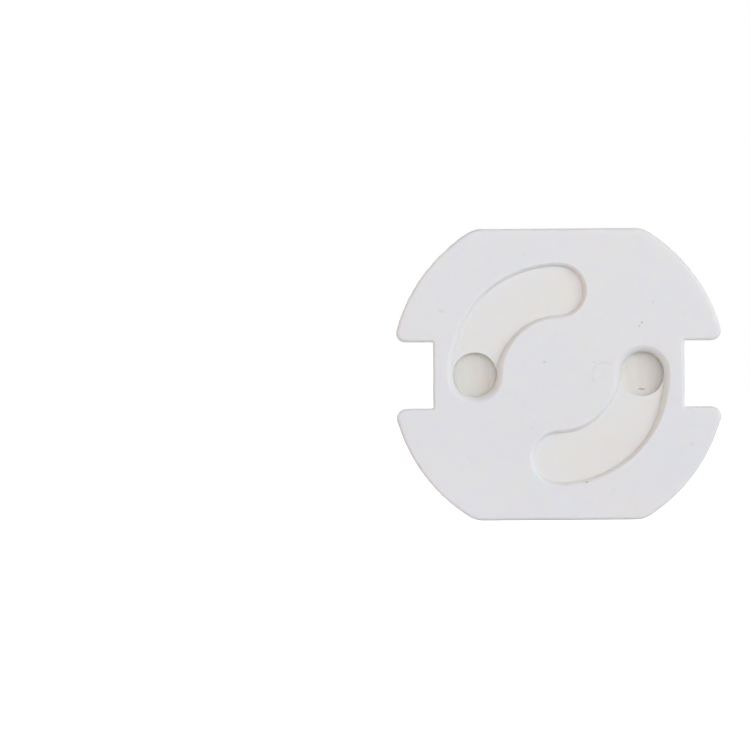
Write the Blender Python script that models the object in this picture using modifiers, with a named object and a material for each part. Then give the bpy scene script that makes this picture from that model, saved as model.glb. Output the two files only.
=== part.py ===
"""Outlet safety cover: a twist shutter held in a flat two-part shell with an adhesive back.

The cover stands as it is fixed on a wall, with +Z up and its front towards -Y. The back of
the release liner lies in the plane Y = 0, and the shutter turns about the Y axis. Lengths
are in metres, angles in degrees, and outlines are lists of (x, z) points.
"""
import math

import bmesh
import bpy
from mathutils import Vector

MM = 0.001

# The plug that the cover is made for: two round pins, and a quarter turn to open
PIN_PITCH = 19.0 * MM
PIN_RADIUS = 2.4 * MM
QUARTER_TURN = 90.0

# Room round the pins in each layer, and the mouths of the holes
SLOT_GAP = 0.12 * MM
SLOT_MOUTH_ROUND = 0.72 * MM
SLOT_OVERRUN = 0.1 * MM
SHUTTER_HOLE_GAP = 0.12 * MM
SHUTTER_HOLE_ROUND = 0.12 * MM
BACK_HOLE_GAP = 0.45 * MM
BACK_HOLE_MOUTH = 0.35 * MM
TAPE_HOLE_MARGIN = 0.35 * MM

# Shutter: a thick hub, a thinner flange round it, and two lugs that stop the turn
SHUTTER_THICKNESS = 1.1 * MM
SHUTTER_COVER = 0.98 * MM
FLANGE_WIDTH = 1.6 * MM
FLANGE_STEP = 0.4 * MM
FLANGE_EDGE_CHAMFER = 0.15 * MM
RELIEF_WIDTH = 0.25 * MM
RELIEF_DEPTH = 0.4 * MM
STOP_LUG_REACH = 1.2 * MM
STOP_LUG_SINK = 0.6 * MM
STOP_LUG_HALF_ANGLE = 6.0
STOP_LUG_ANGLE = 45.0
STOP_CLEARANCE_ANGLE = 1.0
MOULD_MARK_RADIUS = 1.8 * MM
MOULD_MARK_DEPTH = 0.06 * MM

# Running clearances of the shutter: before it, behind it and round its rim
FRONT_PLAY = 0.03 * MM
BACK_PLAY = 0.08 * MM
RIM_GAP = 0.2 * MM

# Front shell
FRONT_THICKNESS = 0.9 * MM
SHELL_WALL = 0.95 * MM
GUIDE_WALL = 0.8 * MM
NOTCH_SKIN = 0.28 * MM
NOTCH_HALF_WIDTH = 3.76 * MM
EAR_LENGTH = 4.82 * MM
FLAT_DROP = 2.56 * MM
FLAT_CORNER_RADIUS = 2.9 * MM
EAR_TIP_RADIUS = 1.1 * MM
NOTCH_CORNER_RADIUS = 0.12 * MM
OUTER_EDGE_ROUND = 0.4 * MM
LEAST_CORNER_RADIUS = 0.3 * MM

# Pegs in the four ears, which locate the back plate
PEG_ANGLE = 45.0
PEG_RADIUS = 0.8 * MM
PEG_SHOULDER = 0.6 * MM
PEG_GAP = 0.1 * MM
PEG_SINK = 0.2 * MM

# Back plate, foam tape and release liner
BACK_THICKNESS = 1.2 * MM
BACK_FIT_GAP = 0.1 * MM
BACK_SEAT_GAP = 0.05 * MM
BACK_GUIDE_WIDTH = 1.2 * MM
TAPE_THICKNESS = 0.8 * MM
LINER_THICKNESS = 0.12 * MM
BOND_GAP = 0.03 * MM
TAPE_INSET = 1.14 * MM
TAPE_NOTCH_SIDE_INSET = 0.48 * MM
TAPE_NOTCH_FLOOR_INSET = 0.1 * MM

# How far a facet may stand off the true curve, and how far cutters run past a face
CHORD_ERROR = 0.012 * MM
OVERRUN = 1.0 * MM
WELD_DISTANCE = 0.001 * MM
SHOWN_EDGE_SEGMENTS = 5
HIDDEN_EDGE_SEGMENTS = 4
SHARP_ANGLE = 35.0

# The power of a rounded edge's curve: 1 is a flat chamfer and 2 a true quarter round
SOFT_CHAMFER = 1.35
QUARTER_ROUND = 2.0

# Sizes across the face, from the pins outwards
PIN_CIRCLE_RADIUS = PIN_PITCH / 2.0
SLOT_HALF_WIDTH = PIN_RADIUS + SLOT_GAP
SHUTTER_HOLE_RADIUS = PIN_RADIUS + SHUTTER_HOLE_GAP
BACK_HOLE_RADIUS = PIN_RADIUS + BACK_HOLE_GAP
TAPE_HOLE_RADIUS = BACK_HOLE_RADIUS + BACK_HOLE_MOUTH + TAPE_HOLE_MARGIN
SHUTTER_RADIUS = PIN_CIRCLE_RADIUS + SLOT_HALF_WIDTH + SHUTTER_COVER
HUB_RADIUS = SHUTTER_RADIUS - FLANGE_WIDTH
POCKET_RADIUS = SHUTTER_RADIUS + RIM_GAP
GUIDE_RADIUS = POCKET_RADIUS + GUIDE_WALL
NOTCH_FLOOR = GUIDE_RADIUS + NOTCH_SKIN
BODY_RADIUS = NOTCH_FLOOR + EAR_LENGTH
FLAT_HEIGHT = BODY_RADIUS - FLAT_DROP
PEG_CIRCLE_RADIUS = (GUIDE_RADIUS + BODY_RADIUS - SHELL_WALL) / 2.0

# Levels through the thickness, from the liner's back face forwards
LINER_BACK = 0.0
LINER_FRONT = LINER_BACK - LINER_THICKNESS
TAPE_BACK = LINER_FRONT - BOND_GAP
TAPE_FRONT = TAPE_BACK - TAPE_THICKNESS
BACK_PLATE_BACK = TAPE_FRONT - BOND_GAP
BACK_PLATE_FRONT = BACK_PLATE_BACK - BACK_THICKNESS
HUB_BACK = BACK_PLATE_FRONT - BACK_PLAY
FLANGE_BACK = HUB_BACK - FLANGE_STEP
SHUTTER_FRONT = HUB_BACK - SHUTTER_THICKNESS
FRONT_INNER = SHUTTER_FRONT - FRONT_PLAY
FRONT_FACE = FRONT_INNER - FRONT_THICKNESS

WHITE_PLASTIC = (0.73, 0.73, 0.735, 1.0)
SHUTTER_PLASTIC = (0.75, 0.745, 0.75, 1.0)
FOAM = (0.62, 0.61, 0.53, 1.0)
LINER_WHITE = (0.71, 0.69, 0.70, 1.0)


def clear_scene():
    """Start from an empty scene."""
    for obj in list(bpy.data.objects):
        bpy.data.objects.remove(obj, do_unlink=True)


def new_collection(name):
    """Add a collection to the scene."""
    collection = bpy.data.collections.new(name)
    bpy.context.scene.collection.children.link(collection)
    return collection


def plastic(name, colour, roughness):
    """A plain material for one piece."""
    material = bpy.data.materials.new(name)
    material.use_nodes = True
    shader = material.node_tree.nodes["Principled BSDF"]
    shader.inputs["Base Color"].default_value = colour
    shader.inputs["Roughness"].default_value = roughness
    shader.inputs["Metallic"].default_value = 0.0
    material.diffuse_color = colour
    return material


def on_circle(radius, angle):
    """The point at an angle from +X towards +Z."""
    return radius * math.cos(math.radians(angle)), radius * math.sin(math.radians(angle))


def facets(radius, sweep=360.0):
    """How many straight steps follow an arc within the chord error."""
    step = math.degrees(2.0 * math.acos(1.0 - CHORD_ERROR / radius))
    return max(2, math.ceil(abs(sweep) / step))


def arc(centre, radius, start, end, count=0):
    """Points along an arc, both ends included, in as many steps as asked or needed."""
    count = count or facets(radius, end - start)
    turns = [on_circle(radius, start + (end - start) * i / count) for i in range(count + 1)]
    return [(centre[0] + x, centre[1] + z) for x, z in turns]


def circle(centre, radius, count=0):
    """Points round a full circle."""
    return arc(centre, radius, 0.0, 360.0, count)[:-1]


def ring_sector(inner, outer, start, end):
    """A piece of a flat ring between two angles."""
    return arc((0.0, 0.0), outer, start, end) + arc((0.0, 0.0), inner, end, start)


def rounded_slot(radius, half_width, start, end):
    """A slot bent along a circle, with half-round ends.

    The point counts follow the slot's mouth, so that outlines of any half width up to the
    mouth's match point by point.
    """
    mouth = SLOT_HALF_WIDTH + SLOT_MOUTH_ROUND
    side = facets(radius + mouth, end - start)
    cap = facets(mouth, 180.0)
    return (
        arc((0.0, 0.0), radius + half_width, start, end, side)
        + arc(on_circle(radius, end), half_width, end, end + 180.0, cap)[1:-1]
        + arc((0.0, 0.0), radius - half_width, end, start, side)
        + arc(on_circle(radius, start), half_width, start + 180.0, start + 360.0, cap)[1:-1]
    )


def cover_outline(inset=0.0, notch_side_inset=0.0, notch_floor_inset=0.0):
    """The cover's outline, drawn in by the insets.

    It is a circle with a flat at the top and bottom and a square notch at each side. One
    quarter is worked out from the notch up to the flat, and mirrored into the other three.
    """
    radius = BODY_RADIUS - inset
    flat = FLAT_HEIGHT - inset
    notch_side = NOTCH_HALF_WIDTH + notch_side_inset
    notch_floor = NOTCH_FLOOR - notch_floor_inset
    root = NOTCH_CORNER_RADIUS
    tip = max(EAR_TIP_RADIUS - inset, LEAST_CORNER_RADIUS)
    corner = max(FLAT_CORNER_RADIUS - inset, LEAST_CORNER_RADIUS)
    tip_x = math.sqrt((radius - tip) ** 2 - (notch_side + tip) ** 2)
    corner_x = math.sqrt((radius - corner) ** 2 - (flat - corner) ** 2)
    tip_angle = math.degrees(math.atan2(notch_side + tip, tip_x))
    corner_angle = math.degrees(math.atan2(flat - corner, corner_x))
    quarter = (
        arc((notch_floor + root, notch_side - root), root, 180.0, 90.0)
        + arc((tip_x, notch_side + tip), tip, -90.0, tip_angle)
        + arc((0.0, 0.0), radius, tip_angle, corner_angle)[1:-1]
        + arc((corner_x, flat - corner), corner, corner_angle, 90.0)
    )
    upper = quarter + [(-x, z) for x, z in reversed(quarter)]
    return upper + [(x, -z) for x, z in reversed(upper)]


def mesh_object(name, curve_object, collection):
    """Turn a filled curve into one closed mesh object in the same place."""
    bpy.context.scene.collection.objects.link(curve_object)
    bpy.context.view_layer.update()
    depsgraph = bpy.context.evaluated_depsgraph_get()
    mesh = bpy.data.meshes.new_from_object(curve_object.evaluated_get(depsgraph))
    weld_and_face_out(mesh)
    obj = bpy.data.objects.new(name, mesh)
    obj.matrix_world = curve_object.matrix_world
    collection.objects.link(obj)
    bpy.data.objects.remove(curve_object, do_unlink=True)
    return obj


def weld_and_face_out(mesh):
    """Weld a mesh's loose caps, make each flat cap one face, and turn the faces outwards."""
    bm = bmesh.new()
    bm.from_mesh(mesh)
    bmesh.ops.remove_doubles(bm, verts=bm.verts, dist=WELD_DISTANCE)
    levels = [vert.co.z for vert in bm.verts]
    for level in (min(levels), max(levels)):
        cap = [
            face for face in bm.faces
            if all(abs(vert.co.z - level) < WELD_DISTANCE for vert in face.verts)
        ]
        bmesh.ops.dissolve_faces(bm, faces=cap)
    bmesh.ops.recalc_face_normals(bm, faces=bm.faces)
    bm.to_mesh(mesh)
    bm.free()


def flat_plate(name, outline, front, back, collection):
    """A plate across the Y axis, cut to an outline."""
    curve = bpy.data.curves.new(name, "CURVE")
    curve.dimensions = "2D"
    curve.fill_mode = "BOTH"
    curve.extrude = (back - front) / 2.0
    spline = curve.splines.new("POLY")
    spline.points.add(len(outline) - 1)
    spline.use_cyclic_u = True
    for point, (x, z) in zip(spline.points, outline):
        point.co = (x, z, 0.0, 1.0)
    drawing = bpy.data.objects.new(name + "_drawing", curve)
    drawing.location = (0.0, (front + back) / 2.0, 0.0)
    drawing.rotation_euler = (math.radians(90.0), 0.0, 0.0)
    return mesh_object(name, drawing, collection)


def turned(name, profile, collection):
    """A piece turned about the Y axis from a profile of (radius, y) points, front first."""
    mesh = bpy.data.meshes.new(name)
    points = [(radius, 0.0, -y) for radius, y in profile]
    mesh.from_pydata(points, [(i, i + 1) for i in range(len(points) - 1)], [])
    obj = bpy.data.objects.new(name, mesh)
    obj.rotation_euler = (math.radians(90.0), 0.0, 0.0)
    collection.objects.link(obj)
    screw = obj.modifiers.new("turn", "SCREW")
    screw.steps = facets(max(radius for radius, _ in profile))
    screw.render_steps = screw.steps
    screw.use_merge_vertices = True
    screw.merge_threshold = WELD_DISTANCE
    apply_modifiers(obj)
    weld_and_face_out(obj.data)
    return obj


def apply_modifiers(obj):
    """Bake an object's modifiers into its mesh."""
    bpy.context.view_layer.update()
    depsgraph = bpy.context.evaluated_depsgraph_get()
    obj.data = bpy.data.meshes.new_from_object(obj.evaluated_get(depsgraph))
    obj.modifiers.clear()


def combine(obj, others, operation):
    """Cut the other objects from a piece, or join them to it, and hide them as tools."""
    for other in others:
        modifier = obj.modifiers.new(other.name, "BOOLEAN")
        modifier.operation = operation
        modifier.object = other
        modifier.solver = "EXACT"
        other.display_type = "WIRE"
        other.hide_render = True
    apply_modifiers(obj)


def round_edges(obj, outline, level, width, segments):
    """Round the sharp edges that follow an outline at one level along Y."""
    corners = [Vector((x, level, z)) for x, z in outline]
    bm = bmesh.new()
    bm.from_mesh(obj.data)
    on_outline = {
        vert for vert in bm.verts
        if any((obj.matrix_world @ vert.co - corner).length < WELD_DISTANCE for corner in corners)
    }
    picked = [
        edge for edge in bm.edges
        if on_outline.issuperset(edge.verts)
        and edge.calc_face_angle() > math.radians(SHARP_ANGLE)
    ]
    bmesh.ops.bevel(
        bm, geom=picked, offset=width, offset_type="OFFSET", segments=segments,
        profile=0.5, affect="EDGES", clamp_overlap=False,
    )
    bm.to_mesh(obj.data)
    bm.free()


def finish(obj, material):
    """Give a piece its material and shade its curved faces smooth."""
    obj.data.materials.clear()
    obj.data.materials.append(material)
    obj.data.shade_smooth()
    obj.data.set_sharp_from_angle(angle=math.radians(SHARP_ANGLE))


def pin_points(angle):
    """The two points on the pin circle at an angle and opposite it."""
    return [on_circle(PIN_CIRCLE_RADIUS, angle), on_circle(PIN_CIRCLE_RADIUS, angle + 180.0)]


def peg_points():
    """The four points, one in each ear, where a peg meets the back plate."""
    angles = [PEG_ANGLE + quadrant * QUARTER_TURN for quadrant in range(4)]
    return [on_circle(PEG_CIRCLE_RADIUS, angle) for angle in angles]


def hole_tools(name, points, radius, front, back, tools):
    """One round tool at each point, between two levels."""
    return [
        flat_plate("%s_%d" % (name, i), circle(point, radius), front, back, tools)
        for i, point in enumerate(points, 1)
    ]


def mouth_curve(width, segments, power):
    """The rounded edge of a hole as (spread, depth) points, from its face inwards."""
    turns = [math.radians(90.0 * i / segments) for i in range(segments + 1)]
    return [
        (width * (1.0 - math.sin(turn) ** (2.0 / power)),
         width * (1.0 - abs(math.cos(turn)) ** (2.0 / power)))
        for turn in turns
    ]


def stacked(name, layers, collection):
    """A solid through (outline, y) layers whose outlines match point by point."""
    count = len(layers[0][0])
    points = [(x, y, z) for outline, y in layers for x, z in outline]
    rows = range(0, count * (len(layers) - 1), count)
    faces = [
        (row + i, row + (i + 1) % count, row + count + (i + 1) % count, row + count + i)
        for row in rows for i in range(count)
    ]
    faces += [tuple(range(count)), tuple(range(rows.stop, rows.stop + count))]
    mesh = bpy.data.meshes.new(name)
    mesh.from_pydata(points, [], faces)
    bm = bmesh.new()
    bm.from_mesh(mesh)
    bmesh.ops.recalc_face_normals(bm, faces=bm.faces)
    bm.to_mesh(mesh)
    bm.free()
    obj = bpy.data.objects.new(name, mesh)
    collection.objects.link(obj)
    return obj


def mouthed_tool(name, outline_at, mouth, face, far, collection):
    """A hole's tool with a rounded mouth at one face, which runs on to a far level.

    The outline is a function of how far it is spread, and the mouth a curve of points.
    """
    inwards = math.copysign(1.0, far - face)
    steps = [(mouth[0][0], -OVERRUN)] + mouth + [(0.0, abs(far - face))]
    layers = [(outline_at(spread), face + inwards * depth) for spread, depth in steps]
    return stacked(name, layers, collection)


def mouthed_holes(name, points, radius, width, face, far, tools):
    """One round tool at each point, with a rounded mouth at one face."""
    count = facets(radius + width)
    mouth = mouth_curve(width, HIDDEN_EDGE_SEGMENTS, QUARTER_ROUND)
    return [
        mouthed_tool(
            "%s_%d" % (name, i),
            lambda spread, centre=point: circle(centre, radius + spread, count),
            mouth, face, far, tools,
        )
        for i, point in enumerate(points, 1)
    ]


def make_front_shell(parts, tools):
    """Moulded front: a slotted face, a wall round it, the shutter's guide ring and four pegs."""
    shell = flat_plate("front_shell", cover_outline(), FRONT_FACE, BACK_PLATE_BACK, parts)
    inside = cover_outline(SHELL_WALL, SHELL_WALL, SHELL_WALL)
    core = flat_plate("shell_core", inside, FRONT_INNER, BACK_PLATE_BACK + OVERRUN, tools)
    combine(shell, [core], "DIFFERENCE")

    seat = BACK_PLATE_FRONT - BACK_SEAT_GAP
    root = FRONT_INNER - FRONT_THICKNESS / 2.0
    guide = flat_plate("guide_ring", circle((0.0, 0.0), GUIDE_RADIUS), root, seat, tools)
    bosses = hole_tools("boss", peg_points(), PEG_RADIUS + PEG_SHOULDER, root, seat, tools)
    pegs = hole_tools("peg", peg_points(), PEG_RADIUS, root, BACK_PLATE_BACK - PEG_SINK, tools)
    combine(shell, [guide] + bosses + pegs, "UNION")

    pocket = flat_plate(
        "shutter_pocket", circle((0.0, 0.0), POCKET_RADIUS),
        FRONT_INNER, BACK_PLATE_BACK + OVERRUN, tools,
    )
    beyond = math.degrees(SLOT_OVERRUN / PIN_CIRCLE_RADIUS)
    slots = [
        mouthed_tool(
            "slot_%d" % i,
            lambda spread, start=start: rounded_slot(
                PIN_CIRCLE_RADIUS, SLOT_HALF_WIDTH + spread,
                start - beyond, start + QUARTER_TURN + beyond,
            ),
            mouth_curve(SLOT_MOUTH_ROUND, SHOWN_EDGE_SEGMENTS, SOFT_CHAMFER),
            FRONT_FACE, FRONT_INNER + OVERRUN, tools,
        )
        for i, start in enumerate((90.0, 270.0), 1)
    ]
    combine(shell, [pocket] + slots, "DIFFERENCE")
    round_edges(shell, cover_outline(), FRONT_FACE, OUTER_EDGE_ROUND, SHOWN_EDGE_SEGMENTS)
    round_edges(shell, cover_outline(), BACK_PLATE_BACK, OUTER_EDGE_ROUND, HIDDEN_EDGE_SEGMENTS)
    finish(shell, plastic("shell_plastic", WHITE_PLASTIC, 0.5))


def make_shutter_disc(parts, tools):
    """Turning disc: its holes meet the back plate's after a quarter turn."""
    profile = [
        (0.0, SHUTTER_FRONT),
        (SHUTTER_RADIUS - FLANGE_EDGE_CHAMFER, SHUTTER_FRONT),
        (SHUTTER_RADIUS, SHUTTER_FRONT + FLANGE_EDGE_CHAMFER),
        (SHUTTER_RADIUS, FLANGE_BACK),
        (HUB_RADIUS + RELIEF_WIDTH, FLANGE_BACK),
        (HUB_RADIUS + RELIEF_WIDTH, FLANGE_BACK - RELIEF_DEPTH),
        (HUB_RADIUS, FLANGE_BACK - RELIEF_DEPTH),
        (HUB_RADIUS, HUB_BACK),
        (0.0, HUB_BACK),
    ]
    disc = turned("shutter_disc", profile, parts)
    lugs = [
        flat_plate(
            "stop_lug_%d" % i,
            ring_sector(HUB_RADIUS - STOP_LUG_REACH, HUB_RADIUS + STOP_LUG_REACH,
                        angle - STOP_LUG_HALF_ANGLE, angle + STOP_LUG_HALF_ANGLE),
            FLANGE_BACK - STOP_LUG_SINK, HUB_BACK - MOULD_MARK_DEPTH, tools,
        )
        for i, angle in enumerate((STOP_LUG_ANGLE, STOP_LUG_ANGLE + 180.0), 1)
    ]
    combine(disc, lugs, "UNION")
    holes = mouthed_holes(
        "shutter_hole", pin_points(0.0), SHUTTER_HOLE_RADIUS, SHUTTER_HOLE_ROUND,
        SHUTTER_FRONT, HUB_BACK + OVERRUN, tools,
    )
    marks = hole_tools(
        "mould_mark", pin_points(QUARTER_TURN), MOULD_MARK_RADIUS,
        HUB_BACK - MOULD_MARK_DEPTH, HUB_BACK + OVERRUN, tools,
    )
    combine(disc, holes + marks, "DIFFERENCE")
    finish(disc, plastic("shutter_plastic", SHUTTER_PLASTIC, 0.45))


def make_back_plate(parts, tools):
    """Flat back with two pin holes, and guide arcs that hold the shutter forward."""
    gap = SHELL_WALL + BACK_FIT_GAP
    plate = flat_plate(
        "back_plate", cover_outline(gap, gap, gap), BACK_PLATE_FRONT, BACK_PLATE_BACK, parts
    )
    guide_inner = HUB_RADIUS + RIM_GAP
    guide_start = STOP_LUG_ANGLE + STOP_LUG_HALF_ANGLE + STOP_CLEARANCE_ANGLE
    guides = [
        flat_plate(
            "back_guide_%d" % i,
            ring_sector(guide_inner, guide_inner + BACK_GUIDE_WIDTH,
                        base + guide_start, base + 180.0 - guide_start),
            FLANGE_BACK + BACK_PLAY, (BACK_PLATE_FRONT + BACK_PLATE_BACK) / 2.0, tools,
        )
        for i, base in enumerate((0.0, 180.0), 1)
    ]
    combine(plate, guides, "UNION")
    pin_holes = mouthed_holes(
        "back_hole", pin_points(QUARTER_TURN), BACK_HOLE_RADIUS, BACK_HOLE_MOUTH,
        BACK_PLATE_BACK, FLANGE_BACK - OVERRUN, tools,
    )
    peg_holes = hole_tools(
        "peg_hole", peg_points(), PEG_RADIUS + PEG_GAP,
        BACK_PLATE_FRONT - OVERRUN, BACK_PLATE_BACK + OVERRUN, tools,
    )
    combine(plate, pin_holes + peg_holes, "DIFFERENCE")
    finish(plate, plastic("back_plastic", WHITE_PLASTIC, 0.5))


def make_tape_layer(name, front, back, parts, tools):
    """One layer of the die-cut tape, with a hole behind each pin hole."""
    outline = cover_outline(TAPE_INSET, TAPE_NOTCH_SIDE_INSET, TAPE_NOTCH_FLOOR_INSET)
    layer = flat_plate(name, outline, front, back, parts)
    holes = hole_tools(
        name + "_hole", pin_points(QUARTER_TURN), TAPE_HOLE_RADIUS,
        front - OVERRUN, back + OVERRUN, tools,
    )
    combine(layer, holes, "DIFFERENCE")
    return layer


def make_foam_tape(parts, tools):
    """Double-sided foam tape, stuck to the back plate."""
    tape = make_tape_layer("foam_tape", TAPE_FRONT, TAPE_BACK, parts, tools)
    finish(tape, plastic("tape_foam", FOAM, 0.8))


def make_release_liner(parts, tools):
    """Printed liner, peeled off before the cover is stuck down."""
    liner = make_tape_layer("release_liner", LINER_FRONT, LINER_BACK, parts, tools)
    finish(liner, plastic("liner_film", LINER_WHITE, 0.4))


clear_scene()
cover_parts = new_collection("outlet_safety_cover")
cutting_tools = new_collection("cutters")
make_front_shell(cover_parts, cutting_tools)
make_shutter_disc(cover_parts, cutting_tools)
make_back_plate(cover_parts, cutting_tools)
make_foam_tape(cover_parts, cutting_tools)
make_release_liner(cover_parts, cutting_tools)
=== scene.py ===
import math

import bmesh
import bpy
from mathutils import Matrix, Vector


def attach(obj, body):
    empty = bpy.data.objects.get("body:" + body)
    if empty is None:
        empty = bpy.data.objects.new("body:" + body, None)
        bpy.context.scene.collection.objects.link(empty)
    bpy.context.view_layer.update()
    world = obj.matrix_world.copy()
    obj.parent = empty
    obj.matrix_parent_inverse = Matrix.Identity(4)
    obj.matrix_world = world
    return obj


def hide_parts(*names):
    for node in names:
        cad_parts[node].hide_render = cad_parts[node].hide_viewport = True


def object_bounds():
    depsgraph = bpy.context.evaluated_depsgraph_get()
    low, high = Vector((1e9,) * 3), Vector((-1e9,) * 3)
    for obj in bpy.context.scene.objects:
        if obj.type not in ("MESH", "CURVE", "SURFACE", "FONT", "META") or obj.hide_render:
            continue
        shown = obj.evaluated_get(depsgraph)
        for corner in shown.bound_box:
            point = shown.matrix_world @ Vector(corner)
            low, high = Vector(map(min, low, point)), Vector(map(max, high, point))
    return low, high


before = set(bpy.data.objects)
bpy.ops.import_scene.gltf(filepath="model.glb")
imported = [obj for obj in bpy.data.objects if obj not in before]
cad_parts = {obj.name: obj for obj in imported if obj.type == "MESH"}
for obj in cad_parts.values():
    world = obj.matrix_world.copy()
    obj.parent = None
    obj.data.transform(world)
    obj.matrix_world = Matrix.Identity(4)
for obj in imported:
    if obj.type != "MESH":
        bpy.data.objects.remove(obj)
cad_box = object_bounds()


# ---- Front shell -----------------------------------------------------------------------
# The shell is one thin injection moulding in white plastic, and holds the rest. Its face has
# the two curved slots, and its wall runs back round the other layers, with every outer edge
# rounded. The mould was polished to a fine satin, and a few dark specks lie in the face.

MM = 0.001

# Sizes of all the moulded pieces: broken edges, and how near or flat counts as the same
EDGE_BREAK = 0.05 * MM
EDGE_BREAK_SEGMENTS = 2
WELD_DISTANCE = 0.001 * MM
FLAT_ANGLE = math.radians(1.0)
SHARP_ANGLE = math.radians(38.0)
FLAT_FACE_WEIGHT = 100

# Feet of the slots' walls, which reach down to the shutter
FOOT_REACH = 0.1 * MM
FOOT_DROP = 0.022 * MM

# Slots: their ends, middle line and the outer line of their mouths, which run steeper from
# one share of the slot's length to another
SLOT_START = math.radians(180.0)
SLOT_END = math.radians(90.0)
SLOT_PATH_RADIUS = 9.5 * MM
SLOT_MOUTH_REACH = 3.24 * MM
STEEPER = 0.42
STEEP_FROM = 0.08
STEEP_FULL = 0.4

# Surface of white moulded plastic: colour clouds, satin grain, sink waves and glow
CLOUD_SIZE = 7.0 * MM
CLOUD_START = 0.35
CLOUD_FULL = 0.7
CLOUD_ROUGHNESS = 0.1
GRAIN_SIZE = 0.16 * MM
GRAIN_HEIGHT = 0.0035 * MM
SINK_SIZE = 4.0 * MM
SINK_HEIGHT = 0.03 * MM
GLOW_RADIUS = (1.0, 0.8, 0.6)
PLASTIC_IOR = 1.49

SHELL_WHITE = (0.830, 0.830, 0.888)
SHELL_WARM = (0.843, 0.834, 0.873)
SHELL_ROUGHNESS = 0.38
SHELL_GLOW = 0.35 * MM
# Painted shade: the slot walls below the face turn a warm tan in colour, standing in for the warm
# shade that falls there
SLOT_PAINTED_SHADE = (0.862, 0.842, 0.806)
SHADE_TINT_START = 0.05 * MM
SHADE_TINT_REACH = 13.1 * MM
SHADE_TINT_FADE = 0.2 * MM
SPECK_GREY = (0.22, 0.22, 0.20)
SPECK_SOFTNESS = 0.5
SCUFF_MIDDLE = (5.20 * MM, -0.10 * MM)
SCUFF_RADIUS = 1.42 * MM
SCUFF_HALF_WIDTH = 0.18 * MM
SCUFF_START = 0.3 * MM
SCUFF_FULL = -0.9 * MM
SCUFF_STRENGTH = 0.08
FACE_MARKS = (
    # x, z, length and width in mm, turn in degrees, strength
    (9.46, 5.82, 0.24, 0.17, 60.0, 0.62),
    (9.15, 5.42, 0.20, 0.15, 20.0, 0.52),
    (-1.62, 1.39, 0.42, 0.34, 0.0, 0.16),
    (-13.32, 7.24, 0.75, 0.36, -10.0, 0.09),
    (15.05, -8.03, 0.50, 0.26, -35.0, 0.13),
    (10.75, 8.1, 0.34, 0.30, 70.0, 0.09),
    (-3.1, -6.2, 0.45, 0.20, -50.0, 0.09),
    (3.09, -12.26, 0.35, 0.16, 5.0, 0.45),
    (-3.9, 13.6, 0.24, 0.20, 0.0, 0.10),
    (14.4, 7.0, 0.28, 0.20, 40.0, 0.10),
    (-10.2, -9.3, 0.26, 0.22, 0.0, 0.07),
    (6.1, -13.1, 0.30, 0.18, 20.0, 0.10),
    (4.05, 1.35, 0.30, 0.22, 30.0, 0.12),
)


class Wire:
    """A shader socket that takes part in Python expressions."""

    def __init__(self, nodes, socket):
        self.nodes = nodes
        self.socket = socket

    def math(self, operation, *values):
        return self.nodes.node("ShaderNodeMath", {"operation": operation}, *values)

    def beside(self, name):
        """Another output of the same node."""
        return Wire(self.nodes, self.socket.node.outputs[name])

    def __add__(self, other):
        return self.math("ADD", self, other)

    def __radd__(self, other):
        return self.math("ADD", other, self)

    def __sub__(self, other):
        return self.math("SUBTRACT", self, other)

    def __rsub__(self, other):
        return self.math("SUBTRACT", other, self)

    def __mul__(self, other):
        return self.math("MULTIPLY", self, other)

    def __rmul__(self, other):
        return self.math("MULTIPLY", other, self)

    def __truediv__(self, other):
        return self.math("DIVIDE", self, other)

    def __rtruediv__(self, other):
        return self.math("DIVIDE", other, self)

    def __abs__(self):
        return self.math("ABSOLUTE", self)


class Nodes:
    """A node tree whose nodes are added one call at a time."""

    def __init__(self, tree):
        self.tree = tree

    def node(self, kind, settings, *values, output=0, **named):
        """Add a node, set it up, feed its sockets in order or by name, and wire its output."""
        made = self.tree.nodes.new(kind)
        for name, value in settings.items():
            setattr(made, name, value)
        sockets = [socket for socket in made.inputs if socket.enabled]
        for socket, value in zip(sockets, values):
            self.feed(socket, value)
        for name, value in named.items():
            label = name.replace("_", " ")
            self.feed(next(socket for socket in sockets if socket.name == label), value)
        if isinstance(output, str):
            return Wire(self, made.outputs[output])
        return Wire(self, [socket for socket in made.outputs if socket.enabled][output])

    def feed(self, socket, value):
        if isinstance(value, Wire):
            self.tree.links.new(value.socket, socket)
        elif socket.type == "RGBA" and len(value) == 3:
            socket.default_value = (*value, 1.0)
        else:
            socket.default_value = value


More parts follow.
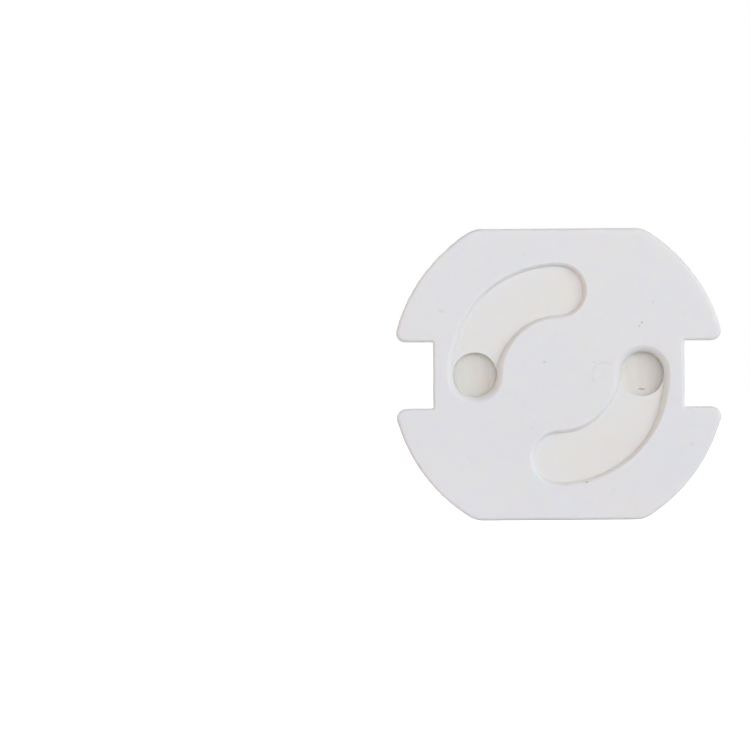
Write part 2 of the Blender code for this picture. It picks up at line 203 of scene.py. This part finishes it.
class Finish(Nodes):
    """A material whose surface is described by wires into one Principled shader."""

    def __init__(self, name):
        self.material = bpy.data.materials.new(name)
        self.material.use_nodes = True
        super().__init__(self.material.node_tree)
        self.shader = self.tree.nodes["Principled BSDF"]
        self.place = self.node("ShaderNodeTexCoord", {}, output="Object")

    def surface(self, **inputs):
        """Feed the shader's own sockets, constants and wires alike."""
        for name, value in inputs.items():
            self.feed(self.shader.inputs[name.replace("_", " ")], value)

    def axes(self):
        """The three Object coordinates as wires: east, depth and up."""
        east = self.node("ShaderNodeSeparateXYZ", {}, self.place)
        return east, east.beside("Y"), east.beside("Z")

    def noise(self, size, detail=2.0, seed=0.0):
        """Even noise from 0 to 1, with features about as large as size."""
        moved = self.node(
            "ShaderNodeVectorMath", {"operation": "ADD"}, self.place, (seed, seed, seed)
        )
        return self.node(
            "ShaderNodeTexNoise", {}, moved, Scale=0.5 / size, Detail=detail, output="Fac"
        )

    def blend(self, low, high, share):
        """A colour between two colours."""
        return self.node("ShaderNodeMix", {"data_type": "RGBA"}, share, low, high)

    def ramp(self, value, start, end):
        """A smooth step from 0 at start to 1 at end."""
        return self.node(
            "ShaderNodeMapRange", {"interpolation_type": "SMOOTHSTEP"}, value,
            start, end, 0.0, 1.0,
        )

    def bump(self, height, distance, normal=None):
        """A normal that follows a height from 0 to 1, on top of another normal if given."""
        links = {} if normal is None else {"Normal": normal}
        return self.node(
            "ShaderNodeBump", {}, Strength=1.0, Distance=distance, Height=height, **links
        )


def mark(finish, x, z, length, width, turn):
    """A mask for one small oval mark on a face across the Y axis, 1 at its middle."""
    east, _, up = finish.axes()
    dx, dz = east - x, up - z
    c, s = math.cos(math.radians(turn)), math.sin(math.radians(turn))
    along = (dx * c + dz * s) / (length / 2.0)
    across = (dz * c - dx * s) / (width / 2.0)
    reach = along * along + across * across
    return finish.ramp(reach, 1.0 + SPECK_SOFTNESS, 1.0 - SPECK_SOFTNESS)


def moulded_plastic(name, white, warm, roughness, glow):
    """White moulded plastic: faintly cloudy, with a satin grain, slow sink waves and a glow."""
    finish = Finish(name)
    cloud = finish.noise(CLOUD_SIZE, seed=0.31)
    grain = finish.noise(GRAIN_SIZE, detail=3.0, seed=0.77)
    waves = finish.noise(SINK_SIZE, detail=1.0, seed=0.12)
    satin = finish.bump(grain, GRAIN_HEIGHT)
    finish.colour = finish.blend(white, warm, finish.ramp(cloud, CLOUD_START, CLOUD_FULL))
    finish.relief = finish.bump(waves, SINK_HEIGHT, normal=satin)
    finish.surface(
        Base_Color=finish.colour,
        Roughness=roughness + CLOUD_ROUGHNESS * cloud,
        Normal=finish.relief,
        Subsurface_Weight=1.0,
        Subsurface_Scale=glow,
        Subsurface_Radius=GLOW_RADIUS,
        IOR=PLASTIC_IOR,
    )
    return finish


def moulding(name, node, finish, foot_level=math.inf, reshape=None):
    """A CAD node's copy: triangles merged, sharp edges broken, curves shaded smooth.

    Outer corners near the foot level stay sharp and reach down to the piece that lies there.
    What reshape does to the mesh comes before its edges are broken.
    """
    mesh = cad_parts[node].data.copy()
    mesh.name = name
    mesh.attributes.remove(mesh.attributes["custom_normal"])
    bm = bmesh.new()
    bm.from_mesh(mesh)
    bmesh.ops.remove_doubles(bm, verts=bm.verts, dist=WELD_DISTANCE)
    bmesh.ops.dissolve_limit(bm, angle_limit=FLAT_ANGLE, verts=bm.verts, edges=bm.edges)
    broken = bm.edges.layers.float.new("bevel_weight_edge")
    feet = set()
    for edge in bm.edges:
        near = max(abs(vert.co.y - foot_level) for vert in edge.verts) < FOOT_REACH
        sharp = edge.calc_face_angle(0.0) > SHARP_ANGLE
        edge[broken] = float(sharp and not near)
        if sharp and near and edge.is_convex:
            feet.update(edge.verts)
    for vert in feet:
        vert.co.y += FOOT_DROP
    if reshape:
        reshape(bm)
    bm.to_mesh(mesh)
    bm.free()
    mesh.materials.clear()
    mesh.materials.append(finish.material)
    obj = bpy.data.objects.new(name, mesh)
    bpy.context.scene.collection.objects.link(obj)
    bevel = obj.modifiers.new("edge_break", "BEVEL")
    bevel.width = EDGE_BREAK
    bevel.segments = EDGE_BREAK_SEGMENTS
    bevel.limit_method = "WEIGHT"
    bevel.use_clamp_overlap = True
    bevel.miter_outer = "MITER_ARC"
    bake(obj)
    obj.data.shade_smooth()
    obj.data.set_sharp_from_angle(angle=SHARP_ANGLE)
    weigh = obj.modifiers.new("flat_faces_first", "WEIGHTED_NORMAL")
    weigh.keep_sharp = True
    weigh.weight = FLAT_FACE_WEIGHT
    bake(obj)
    return obj


def bake(obj):
    """Replace an object's mesh by what its modifiers make of it."""
    depsgraph = bpy.context.evaluated_depsgraph_get()
    mesh = bpy.data.meshes.new_from_object(obj.evaluated_get(depsgraph))
    obj.modifiers.clear()
    obj.data = mesh


def distance(dx, dz):
    """How far a place is from a point in the cover's plane, from its two steps there."""
    square = dx * dx + dz * dz
    return square.math("SQRT", square)


def steepen_slots(bm):
    """Draw the slots' rounded mouths out towards their outer line, away from the pin holes."""
    for vert in bm.verts:
        spot = Vector((vert.co.x, vert.co.z))
        side = 1.0 if vert.co.z > vert.co.x else -1.0
        angle = math.atan2(side * spot.y, side * spot.x) % math.tau
        angle = min(max(angle, SLOT_END), SLOT_START)
        middle = side * SLOT_PATH_RADIUS * Vector((math.cos(angle), math.sin(angle)))
        reach = (spot - middle).length
        if 0.5 * SLOT_MOUTH_REACH < reach < SLOT_MOUTH_REACH:
            share = (SLOT_START - angle) / (SLOT_START - SLOT_END)
            share = min(max((share - STEEP_FROM) / (STEEP_FULL - STEEP_FROM), 0.0), 1.0)
            drawn = (SLOT_MOUTH_REACH - reach) * STEEPER * share * share * (3.0 - 2.0 * share)
            moved = middle + (spot - middle) * (reach + drawn) / reach
            vert.co.x, vert.co.z = moved


slot_foot = min(vert.co.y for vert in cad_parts["shutter_disc"].data.vertices)
shell_finish = moulded_plastic(
    "satin_shell_plastic", SHELL_WHITE, SHELL_WARM, SHELL_ROUGHNESS, SHELL_GLOW
)
east, depth, up = shell_finish.axes()
# Painted shade: from just behind the face down to the shutter, within the slots' reach, the
# shell's colour turns a warm tan, as the shade on the slot walls
slot_shade_tint = shell_finish.ramp(depth, cad_box[0].y + SHADE_TINT_START, slot_foot)
slot_shade_tint = slot_shade_tint * shell_finish.ramp(distance(east, up), SHADE_TINT_REACH, SHADE_TINT_REACH - SHADE_TINT_FADE)
shell_colour = shell_finish.blend(shell_finish.colour, SLOT_PAINTED_SHADE, slot_shade_tint)
dirt = 0.0
for x, z, length, width, turn, strength in FACE_MARKS:
    spot = mark(shell_finish, x * MM, z * MM, length * MM, width * MM, turn)
    dirt = spot * strength + dirt
dx, dz = east - SCUFF_MIDDLE[0], up - SCUFF_MIDDLE[1]
scuff = shell_finish.ramp(abs(distance(dx, dz) - SCUFF_RADIUS), SCUFF_HALF_WIDTH, 0.0)
scuff = scuff * shell_finish.ramp(dx - dz, SCUFF_START, SCUFF_FULL)
dirt = dirt + SCUFF_STRENGTH * scuff
shell_finish.surface(Base_Color=shell_finish.blend(shell_colour, SPECK_GREY, dirt))

shell = moulding("shell_moulding", "front_shell", shell_finish, slot_foot, steepen_slots)
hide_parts("front_shell")
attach(shell, "cover")


# ---- Shutter disc ----------------------------------------------------------------------
# The disc that turns behind the slots is a second moulding in the same plastic, coloured a little
# less blue than the shell. It lies loose between the shell and the back plate.

SHUTTER_WHITE = (0.845, 0.830, 0.845)
SHUTTER_WARM = (0.850, 0.828, 0.835)
SHUTTER_ROUGHNESS = 0.41
INNER_GLOW = 0.2 * MM

shutter_finish = moulded_plastic(
    "satin_shutter_plastic", SHUTTER_WHITE, SHUTTER_WARM, SHUTTER_ROUGHNESS, INNER_GLOW
)
shutter = moulding("shutter_moulding", "shutter_disc", shutter_finish)
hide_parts("shutter_disc")
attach(shutter, "shutter")


# ---- Back plate ------------------------------------------------------------------------
# The back plate is the third moulding, set closely into the shell's wall on four pegs. Its
# inner face, which shows at the bottom of the shutter's holes, keeps the fine upright lines
# that the cutter left in the mould.

# Painted shade: the back plate's colours are warmer than the shell's, for the warm shade on its
# face at the bottom of the shutter's holes
PLATE_SHADED_WHITE = (0.852, 0.830, 0.815)
PLATE_SHADED_WARM = (0.848, 0.812, 0.782)
PLATE_ROUGHNESS = 0.46
TOOL_LINE_PITCH = 0.21 * MM
TOOL_LINE_DEPTH = 0.014 * MM
TOOL_DRIFT = 2.0
TOOL_DRIFT_SIZE = 1.5 * MM
# Painted shade: a small slit in the plate's floor is not cut, and its dark is painted in as grey
SLIT_SHADE_GREY = (0.16, 0.14, 0.12)
SLIT_MIDDLE = (9.53 * MM, -1.74 * MM)
SLIT_LENGTH = 0.80 * MM
SLIT_WIDTH = 0.12 * MM
SLIT_TURN = -1.0
SLIT_SHADE_STRENGTH = 0.7
CLOSER_FIT = 0.06 * MM

# The warm tint of these plate colours is painted shade
plate_finish = moulded_plastic(
    "lined_plate_plastic", PLATE_SHADED_WHITE, PLATE_SHADED_WARM, PLATE_ROUGHNESS, INNER_GLOW
)
east, _, _ = plate_finish.axes()
drift = plate_finish.noise(TOOL_DRIFT_SIZE, seed=0.5)
phase = east * (math.tau / TOOL_LINE_PITCH) + drift * TOOL_DRIFT
lines = phase.math("SINE", phase)
# Painted shade of the uncut slit, laid into the plate's colour
slit_shade_mask = mark(plate_finish, *SLIT_MIDDLE, SLIT_LENGTH, SLIT_WIDTH, SLIT_TURN)
plate_finish.surface(
    Base_Color=plate_finish.blend(plate_finish.colour, SLIT_SHADE_GREY, slit_shade_mask * SLIT_SHADE_STRENGTH),
    Normal=plate_finish.bump(lines, TOOL_LINE_DEPTH, normal=plate_finish.relief),
)


def fit_closer(bm):
    """Move the upright walls that reach the back outwards, corners by their mitre."""
    bm.normal_update()
    back = max(vert.co.y for vert in bm.verts)
    normals = {}
    for face in bm.faces:
        reaches = max(vert.co.y for vert in face.verts) > back - WELD_DISTANCE
        if reaches and abs(face.normal.y) < math.sin(FLAT_ANGLE):
            for vert in face.verts:
                normals.setdefault(vert, []).append(face.normal.copy())
    for vert, walls in normals.items():
        first = walls[0]
        last = min(walls, key=first.dot)
        vert.co += (first + last) * CLOSER_FIT / (1.0 + first.dot(last))


plate = moulding("plate_moulding", "back_plate", plate_finish, reshape=fit_closer)
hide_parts("back_plate")
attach(plate, "cover")


# ---- Foam tape -------------------------------------------------------------------------
# The cover is stuck down by one layer of closed-cell foam tape, white gone olive, with glue on
# both sides. It was die-cut, so its edge is drawn in a little and shows the cut cells.

FOAM_OLIVE = (0.58, 0.565, 0.49)
FOAM_PALE = (0.69, 0.68, 0.61)
FOAM_ROUGHNESS = 0.85
FOAM_GLOW = 0.5 * MM
FOAM_GLOW_RADIUS = (1.0, 0.9, 0.7)
FOAM_GLOW_WEIGHT = 0.4
CELL_SIZE = 0.16 * MM
CELL_DEPTH = 0.05 * MM
CELL_BUMP = 0.03 * MM
CELL_DARK = 0.38
CELL_PALE = 0.66
CELL_SEED = 4.0
CUT_STEP = 0.14 * MM
CUT_ROWS = 7
CUT_DRAW = 0.06 * MM
CUT_EDGE_ANGLE = math.radians(45.0)


def cut_loops(node):
    """Evenly spaced points round each cut edge of a flat layer, its material on the left."""
    bm = bmesh.new()
    bm.from_mesh(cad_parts[node].data)
    bmesh.ops.remove_doubles(bm, verts=bm.verts, dist=WELD_DISTANCE)
    back = max(vert.co.y for vert in bm.verts)
    rim = [
        edge for edge in bm.edges
        if edge.calc_face_angle(0.0) > CUT_EDGE_ANGLE
        and all(abs(vert.co.y - back) < WELD_DISTANCE for vert in edge.verts)
    ]
    loops = []
    while rim:
        edge = rim.pop()
        vert = edge.verts[0]
        loop = []
        while edge:
            loop.append((vert.co.x, vert.co.z))
            vert = edge.other_vert(vert)
            edge = next((other for other in vert.link_edges if other in rim), None)
            if edge:
                rim.remove(edge)
        loops.append(spaced(loop))
    bm.free()
    outer = max(loops, key=lambda loop: abs(turn_area(loop)))
    return [
        loop if (turn_area(loop) > 0.0) == (loop is outer) else loop[::-1] for loop in loops
    ]


def turn_area(loop):
    """The area inside a loop, positive where it turns from +X towards +Z."""
    following = loop[1:] + loop[:1]
    return sum(x * w - u * z for (x, z), (u, w) in zip(loop, following)) / 2.0


def spaced(loop):
    """A closed loop's points moved to even steps along it."""
    points = [Vector(point) for point in loop]
    ends = points[1:] + points[:1]
    lengths = [(end - start).length for start, end in zip(points, ends)]
    count = round(sum(lengths) / CUT_STEP)
    step = sum(lengths) / count
    made = []
    travelled = 0.0
    for start, end, length in zip(points, ends, lengths):
        while len(made) < count and len(made) * step < travelled + length:
            made.append(tuple(start.lerp(end, (len(made) * step - travelled) / length)))
        travelled += length
    return made


def cut_layer(name, loops, front, back, rows, draw):
    """A flat layer whose cut edges are drawn in by a shallow hollow between its two faces."""
    bm = bmesh.new()
    cut = bm.verts.layers.float.new("cut_edge")
    for loop in loops:
        sides = [
            Vector((z0 - z1, x1 - x0)).normalized()
            for (x0, z0), (x1, z1) in zip(loop[-1:] + loop[:-1], loop[1:] + loop[:1])
        ]
        rings = []
        for row in range(rows + 1):
            share = row / rows
            hollow = 4.0 * share * (1.0 - share)
            ring = []
            for (x, z), side in zip(loop, sides):
                inward = side * draw * hollow
                vert = bm.verts.new((x + inward.x, front + (back - front) * share, z + inward.y))
                vert[cut] = hollow
                ring.append(vert)
            rings.append(ring)
        for near, far in zip(rings[:-1], rings[1:]):
            for i in range(len(near)):
                bm.faces.new((near[i - 1], near[i], far[i], far[i - 1]))
    for level in (front, back):
        rim = [
            edge for edge in bm.edges
            if all(abs(vert.co.y - level) < WELD_DISTANCE for vert in edge.verts)
        ]
        bmesh.ops.triangle_fill(bm, use_beauty=True, edges=rim)
    bmesh.ops.recalc_face_normals(bm, faces=bm.faces)
    mesh = bpy.data.meshes.new(name)
    bm.to_mesh(mesh)
    bm.free()
    obj = bpy.data.objects.new(name, mesh)
    bpy.context.scene.collection.objects.link(obj)
    return obj


class Geometry(Nodes):
    """A Geometry Nodes tree with named inputs, which ends in a material."""

    def __init__(self, name, **sizes):
        super().__init__(bpy.data.node_groups.new(name, "GeometryNodeTree"))
        face = self.tree.interface
        face.new_socket("Geometry", in_out="INPUT", socket_type="NodeSocketGeometry")
        face.new_socket("Geometry", in_out="OUTPUT", socket_type="NodeSocketGeometry")
        self.sizes = sizes
        for label in sizes:
            face.new_socket(label.replace("_", " "), in_out="INPUT", socket_type="NodeSocketFloat")
        self.given = self.node("NodeGroupInput", {}, output="Geometry")

    def size(self, label):
        """A named input as a wire."""
        return self.given.beside(label.replace("_", " "))

    def grow(self, obj, geometry, material):
        """End the tree, run it on an object and bake what it makes."""
        whole = self.node("GeometryNodeRealizeInstances", {}, geometry)
        painted = self.node("GeometryNodeSetMaterial", {}, whole, Material=material)
        self.tree.links.new(painted.socket, self.tree.nodes.new("NodeGroupOutput").inputs[0])
        modifier = obj.modifiers.new(self.tree.name, "NODES")
        modifier.node_group = self.tree
        for item in self.tree.interface.items_tree:
            label = item.name.replace(" ", "_")
            if item.in_out == "INPUT" and label in self.sizes:
                modifier[item.identifier] = self.sizes[label]
        bake(obj)


foam_finish = Finish("olive_foam")
cells = foam_finish.noise(CELL_SIZE, detail=3.0, seed=0.21)
pale = foam_finish.ramp(cells, CELL_DARK, CELL_PALE)
foam_finish.surface(
    Base_Color=foam_finish.blend(FOAM_OLIVE, FOAM_PALE, pale),
    Roughness=FOAM_ROUGHNESS,
    Normal=foam_finish.bump(cells, CELL_BUMP),
    Subsurface_Weight=FOAM_GLOW_WEIGHT,
    Subsurface_Scale=FOAM_GLOW,
    Subsurface_Radius=FOAM_GLOW_RADIUS,
)

tape_front = min(vert.co.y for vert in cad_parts["foam_tape"].data.vertices)
tape_back = max(vert.co.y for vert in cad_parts["foam_tape"].data.vertices)
foam = cut_layer("foam_layer", cut_loops("foam_tape"), tape_front, tape_back, CUT_ROWS, CUT_DRAW)
cutting = Geometry("cut_cells", Cell_Size=CELL_SIZE, Cell_Depth=CELL_DEPTH, Seed=CELL_SEED)
cell_noise = cutting.node(
    "ShaderNodeTexNoise", {"noise_dimensions": "4D"},
    W=cutting.size("Seed"), Scale=0.5 / cutting.size("Cell_Size"), Detail=2.0, output="Fac",
)
edge_share = cutting.node("GeometryNodeInputNamedAttribute", {"data_type": "FLOAT"}, "cut_edge")
push = (cell_noise - 0.5) * cutting.size("Cell_Depth") * edge_share
outwards = cutting.node("GeometryNodeInputNormal", {})
shift = cutting.node("ShaderNodeVectorMath", {"operation": "SCALE"}, outwards, Scale=push)
moved = cutting.node("GeometryNodeSetPosition", {}, cutting.given, Offset=shift)
cutting.grow(foam, moved, foam_finish.material)
foam.data.shade_smooth()
foam.data.set_sharp_from_angle(angle=SHARP_ANGLE)
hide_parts("foam_tape")
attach(foam, "cover")


# ---- Release liner ---------------------------------------------------------------------
# The glue on the foam's back is covered by a thin white coated film, cut together with the
# foam and peeled off before use. Plain slanted red bars are printed on it in staggered rows.

LINER_WHITE = (0.725, 0.715, 0.740)
LINER_ROUGHNESS = 0.34
LINER_SHINE = 0.2
LINER_EDGE_ROWS = 2
LINER_EDGE_BULGE = 0.01 * MM
MOTTLE_SIZE = 0.5 * MM
MOTTLE_ROUGHNESS = 0.08
RIPPLE_SIZE = 5.0 * MM
RIPPLE_HEIGHT = 0.05 * MM
INK_RED = (0.70, 0.036, 0.056)
INK_MOTTLE = 0.04
INK_SMOOTHER = 0.05
BAR_ROW = 10.0 * MM
BAR_STEP = 13.0 * MM
BAR_LENGTH = 8.5 * MM
BAR_WIDTH = 3.6 * MM
BAR_SLANT = math.tan(math.radians(22.0))
BAR_TURN = math.radians(35.0)
INK_EDGE = 0.05 * MM
INK_THICKNESS = 0.02 * MM

liner_finish = Finish("printed_liner")
east, depth, up = liner_finish.axes()
along = (east * math.cos(BAR_TURN) + up * math.sin(BAR_TURN)) / BAR_STEP
across = (up * math.cos(BAR_TURN) - east * math.sin(BAR_TURN)) / BAR_ROW
row = across.math("FLOOR", across)
stagger = row.math("FLOORED_MODULO", row, 2.0) * 0.5
beside = along + stagger
offset_across = (across - row - 0.5) * BAR_ROW
offset_along = (beside.math("FRACT", beside) - 0.5) * BAR_STEP - offset_across * BAR_SLANT
ink = liner_finish.ramp(depth, -2.0 * INK_THICKNESS, -INK_THICKNESS)
for offset, size in ((offset_along, BAR_LENGTH), (offset_across, BAR_WIDTH)):
    ink = ink * liner_finish.ramp(abs(offset), size / 2.0 + INK_EDGE, size / 2.0 - INK_EDGE)
mottle = liner_finish.noise(MOTTLE_SIZE, seed=0.4)
ripple = liner_finish.noise(RIPPLE_SIZE, detail=1.0, seed=0.9)
covered = ink * (1.0 - INK_MOTTLE + INK_MOTTLE * mottle)
liner_finish.surface(
    Base_Color=liner_finish.blend(LINER_WHITE, INK_RED, covered),
    Roughness=LINER_ROUGHNESS + MOTTLE_ROUGHNESS * mottle - INK_SMOOTHER * ink,
    Normal=liner_finish.bump(ripple, RIPPLE_HEIGHT),
    Specular_IOR_Level=LINER_SHINE,
)

film_front = min(vert.co.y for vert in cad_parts["release_liner"].data.vertices)
film_back = max(vert.co.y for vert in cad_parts["release_liner"].data.vertices)
liner = cut_layer(
    "liner_film_sheet", cut_loops("release_liner"), film_front, film_back,
    LINER_EDGE_ROWS, -LINER_EDGE_BULGE,
)
liner.data.materials.append(liner_finish.material)
liner.data.shade_smooth()
liner.data.set_sharp_from_angle(angle=SHARP_ANGLE)
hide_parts("release_liner")
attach(liner, "cover")


# ---- Floor, light and camera -----------------------------------------------------------
# The cover stands upright on a plain white table. Soft lamps light it from the right, the
# front and the back, a warmer one fills in from the left, and the room is pale all round. The
# camera looks straight at the front from far off.

CAMERA_DISTANCE = 450.0 * MM
CLIP_START = 10.0 * MM
FIELD = 85.03 * MM
SIDE_OFFSET = 20.84 * MM
HEIGHT_OFFSET = 0.08 * MM
ROLL = math.radians(0.42)
SENSOR = 36.0

TABLE_WHITE = (0.86, 0.86, 0.86)
TABLE_ROUGHNESS = 0.9
TABLE_GLOW = 0.8
TABLE_DROP = 0.2 * MM
TABLE_SIZE = 6.0

LAMPS = (
    # name, place and size in metres, power in watts, colour
    ("key_lamp", (0.56, -0.47, 0.15), 0.50, 2.7, (0.86, 0.95, 1.0)),
    ("front_lamp", (0.05, -0.78, 0.10), 0.50, 1.95, (0.94, 0.975, 1.0)),
    ("fill_lamp", (-0.66, -0.35, 0.0), 0.50, 1.2, (1.0, 0.66, 0.34)),
    ("back_lamp", (-0.30, 0.75, 0.15), 0.60, 5.6, (0.95, 0.98, 1.0)),
)
ROOM_WARM = (1.0, 0.94, 0.84)
ROOM_LEVEL = 0.30
BLACK = (0.0, 0.0, 0.0)
WHITE = (1.0, 1.0, 1.0)

right = Vector((math.cos(ROLL), 0.0, -math.sin(ROLL)))
upward = Vector((math.sin(ROLL), 0.0, math.cos(ROLL)))
stand_point = -(right * SIDE_OFFSET + upward * HEIGHT_OFFSET)
stand_point.y = cad_box[0].y - CAMERA_DISTANCE
camera_data = bpy.data.cameras.new("camera")
camera_data.sensor_width = SENSOR
camera_data.lens = SENSOR * CAMERA_DISTANCE / FIELD
camera_data.clip_start = CLIP_START
camera = bpy.data.objects.new("camera", camera_data)
camera.matrix_world = Matrix.Translation(stand_point) @ Matrix(
    (right, upward, Vector((0.0, -1.0, 0.0)))
).transposed().to_4x4()
bpy.context.scene.collection.objects.link(camera)
bpy.context.scene.camera = camera

table_mesh = bpy.data.meshes.new("table")
half = TABLE_SIZE / 2.0
level = cad_box[0].z - TABLE_DROP
corners = ((-half, -half), (half, -half), (half, half), (-half, half))
table_mesh.from_pydata([(x, y, level) for x, y in corners], [], [(0, 1, 2, 3)])
table = bpy.data.objects.new("table", table_mesh)
bpy.context.scene.collection.objects.link(table)
table_finish = Finish("white_table")
seen = table_finish.node("ShaderNodeLightPath", {}, output="Is Camera Ray")
table_finish.surface(
    Base_Color=TABLE_WHITE,
    Roughness=TABLE_ROUGHNESS,
    Emission_Color=table_finish.blend(BLACK, WHITE, seen),
    Emission_Strength=TABLE_GLOW,
)
table_mesh.materials.append(table_finish.material)

for name, spot, size, power, colour in LAMPS:
    lamp_data = bpy.data.lights.new(name, "AREA")
    lamp_data.shape = "SQUARE"
    lamp_data.size = size
    lamp_data.energy = power
    lamp_data.color = colour
    lamp = bpy.data.objects.new(name, lamp_data)
    lamp.location = spot
    lamp.rotation_euler = (-Vector(spot)).to_track_quat("-Z", "Y").to_euler()
    bpy.context.scene.collection.objects.link(lamp)

world = bpy.data.worlds.new("white_room")
world.use_nodes = True
bpy.context.scene.world = world
room = Nodes(world.node_tree)
backdrop = world.node_tree.nodes["Background"]
ray = room.node("ShaderNodeLightPath", {}, output="Is Camera Ray")
shown = ray.math("MAXIMUM", ray, ray.beside("Is Glossy Ray"))
shown = ray.math("MAXIMUM", shown, ray.beside("Is Transmission Ray"))
tint = room.node("ShaderNodeMix", {"data_type": "RGBA"}, shown, ROOM_WARM, WHITE)
room.feed(backdrop.inputs["Color"], tint)
room.feed(backdrop.inputs["Strength"], ROOM_LEVEL + shown * (1.0 - ROOM_LEVEL))

bpy.context.scene.view_settings.view_transform = "Standard"
